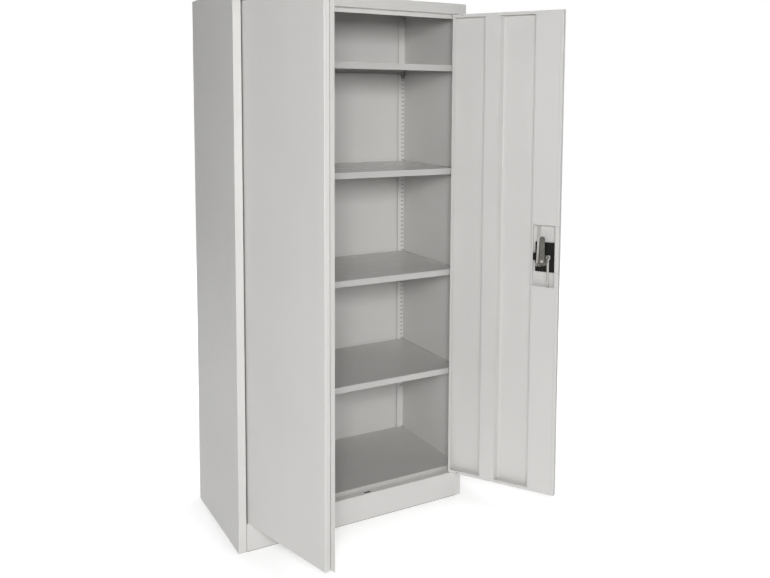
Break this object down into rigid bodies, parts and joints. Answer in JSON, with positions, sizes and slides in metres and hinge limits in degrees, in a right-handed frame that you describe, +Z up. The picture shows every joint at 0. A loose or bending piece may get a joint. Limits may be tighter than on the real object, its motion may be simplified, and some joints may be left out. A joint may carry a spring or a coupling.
{
  "type": "storage cabinet",
  "caption": "Tall sheet-steel storage cabinet with two hinged doors, adjustable shelves and a three-point lock with a recessed turning handle.",
  "frame": {"origin": "on the floor, in the middle of the cabinet's footprint without its doors", "axes": "+X to the viewer's right, +Y to the back, +Z up; the doors are at -Y"},
  "size_m": [1.1267, 0.8884, 1.95],
  "materials": {
    "painted_sheet": "fine powder coat, light grey",
    "zinc_plated_steel": "zinc plated",
    "black_plastic": "moulded",
    "white_plastic": "moulded",
    "chrome": "polished"
  },
  "bodies": {
    "cabinet": {"left_side_panel": "painted_sheet", "right_side_panel": "painted_sheet", "top_panel": "painted_sheet", "back_panel": "painted_sheet", "plinth": "painted_sheet", "floor_pan": "painted_sheet", "left_front_upright": "painted_sheet", "right_front_upright": "painted_sheet", "left_rear_upright": "painted_sheet", "right_rear_upright": "painted_sheet", "shelf_1": "painted_sheet", "shelf_2": "painted_sheet", "shelf_3": "painted_sheet", "shelf_4": "painted_sheet", "shelf_1_clips": "zinc_plated_steel", "shelf_2_clips": "zinc_plated_steel", "shelf_3_clips": "zinc_plated_steel", "shelf_4_clips": "zinc_plated_steel", "hinge_washers": "white_plastic"},
    "left_door": {"left_door_skin": "painted_sheet", "left_door_stiffener": "painted_sheet", "left_top_hinge": "zinc_plated_steel", "left_bottom_hinge": "zinc_plated_steel", "closing_strip": "painted_sheet"},
    "right_door": {"right_door_skin": "painted_sheet", "right_door_stiffener": "painted_sheet", "right_top_hinge": "zinc_plated_steel", "right_bottom_hinge": "zinc_plated_steel", "lock_channel": "painted_sheet", "handle_housing": "black_plastic", "upper_rod_guide": "white_plastic", "lower_rod_guide": "white_plastic"},
    "handle": {"handle_grip": "black_plastic", "spindle": "zinc_plated_steel", "cam_plate": "zinc_plated_steel", "crank_rivets": "zinc_plated_steel", "tongue_spacer": "zinc_plated_steel", "lock_tongue": "zinc_plated_steel", "spindle_screw": "zinc_plated_steel"},
    "lock_cylinder": {"lock_cylinder": "chrome"},
    "upper_rod": {"upper_rod": "zinc_plated_steel"},
    "lower_rod": {"lower_rod": "zinc_plated_steel"}
  },
  "joints": [
    {"name": "left_door_hinge", "type": "hinge", "parent": "cabinet", "child": "left_door", "pos_m": [-0.4247, -0.229, 0], "axis": [0, 0, -1], "range_deg": [-75, 48]},
    {"name": "right_door_hinge", "type": "hinge", "parent": "cabinet", "child": "right_door", "pos_m": [0.4247, -0.229, 0], "axis": [0, 0, 1], "range_deg": [-123, 0]},
    {"name": "handle_turn", "type": "hinge", "parent": "right_door", "child": "handle", "pos_m": [0.62159, -0.53218, 0.99196], "axis": [0.8387, 0.5446, 0], "range_deg": [0, 90]},
    {"name": "cylinder_turn", "type": "hinge", "parent": "handle", "child": "lock_cylinder", "pos_m": [0.62159, -0.53218, 0.99196], "axis": [0.8387, 0.5446, 0], "range_deg": [0, 90]},
    {"name": "upper_rod_slide", "type": "slide", "parent": "right_door", "child": "upper_rod", "axis": [0.0203, -0.0313, 0.9993], "range_m": [0, 0.0297]},
    {"name": "lower_rod_slide", "type": "slide", "parent": "right_door", "child": "lower_rod", "axis": [0, 0, -1], "range_m": [0, 0.0297]}
  ],
  "couplings": [
    {"joint": "upper_rod_slide", "follows": "handle_turn", "m_per_rad": 0.018907},
    {"joint": "lower_rod_slide", "follows": "handle_turn", "m_per_rad": 0.018907}
  ]
}
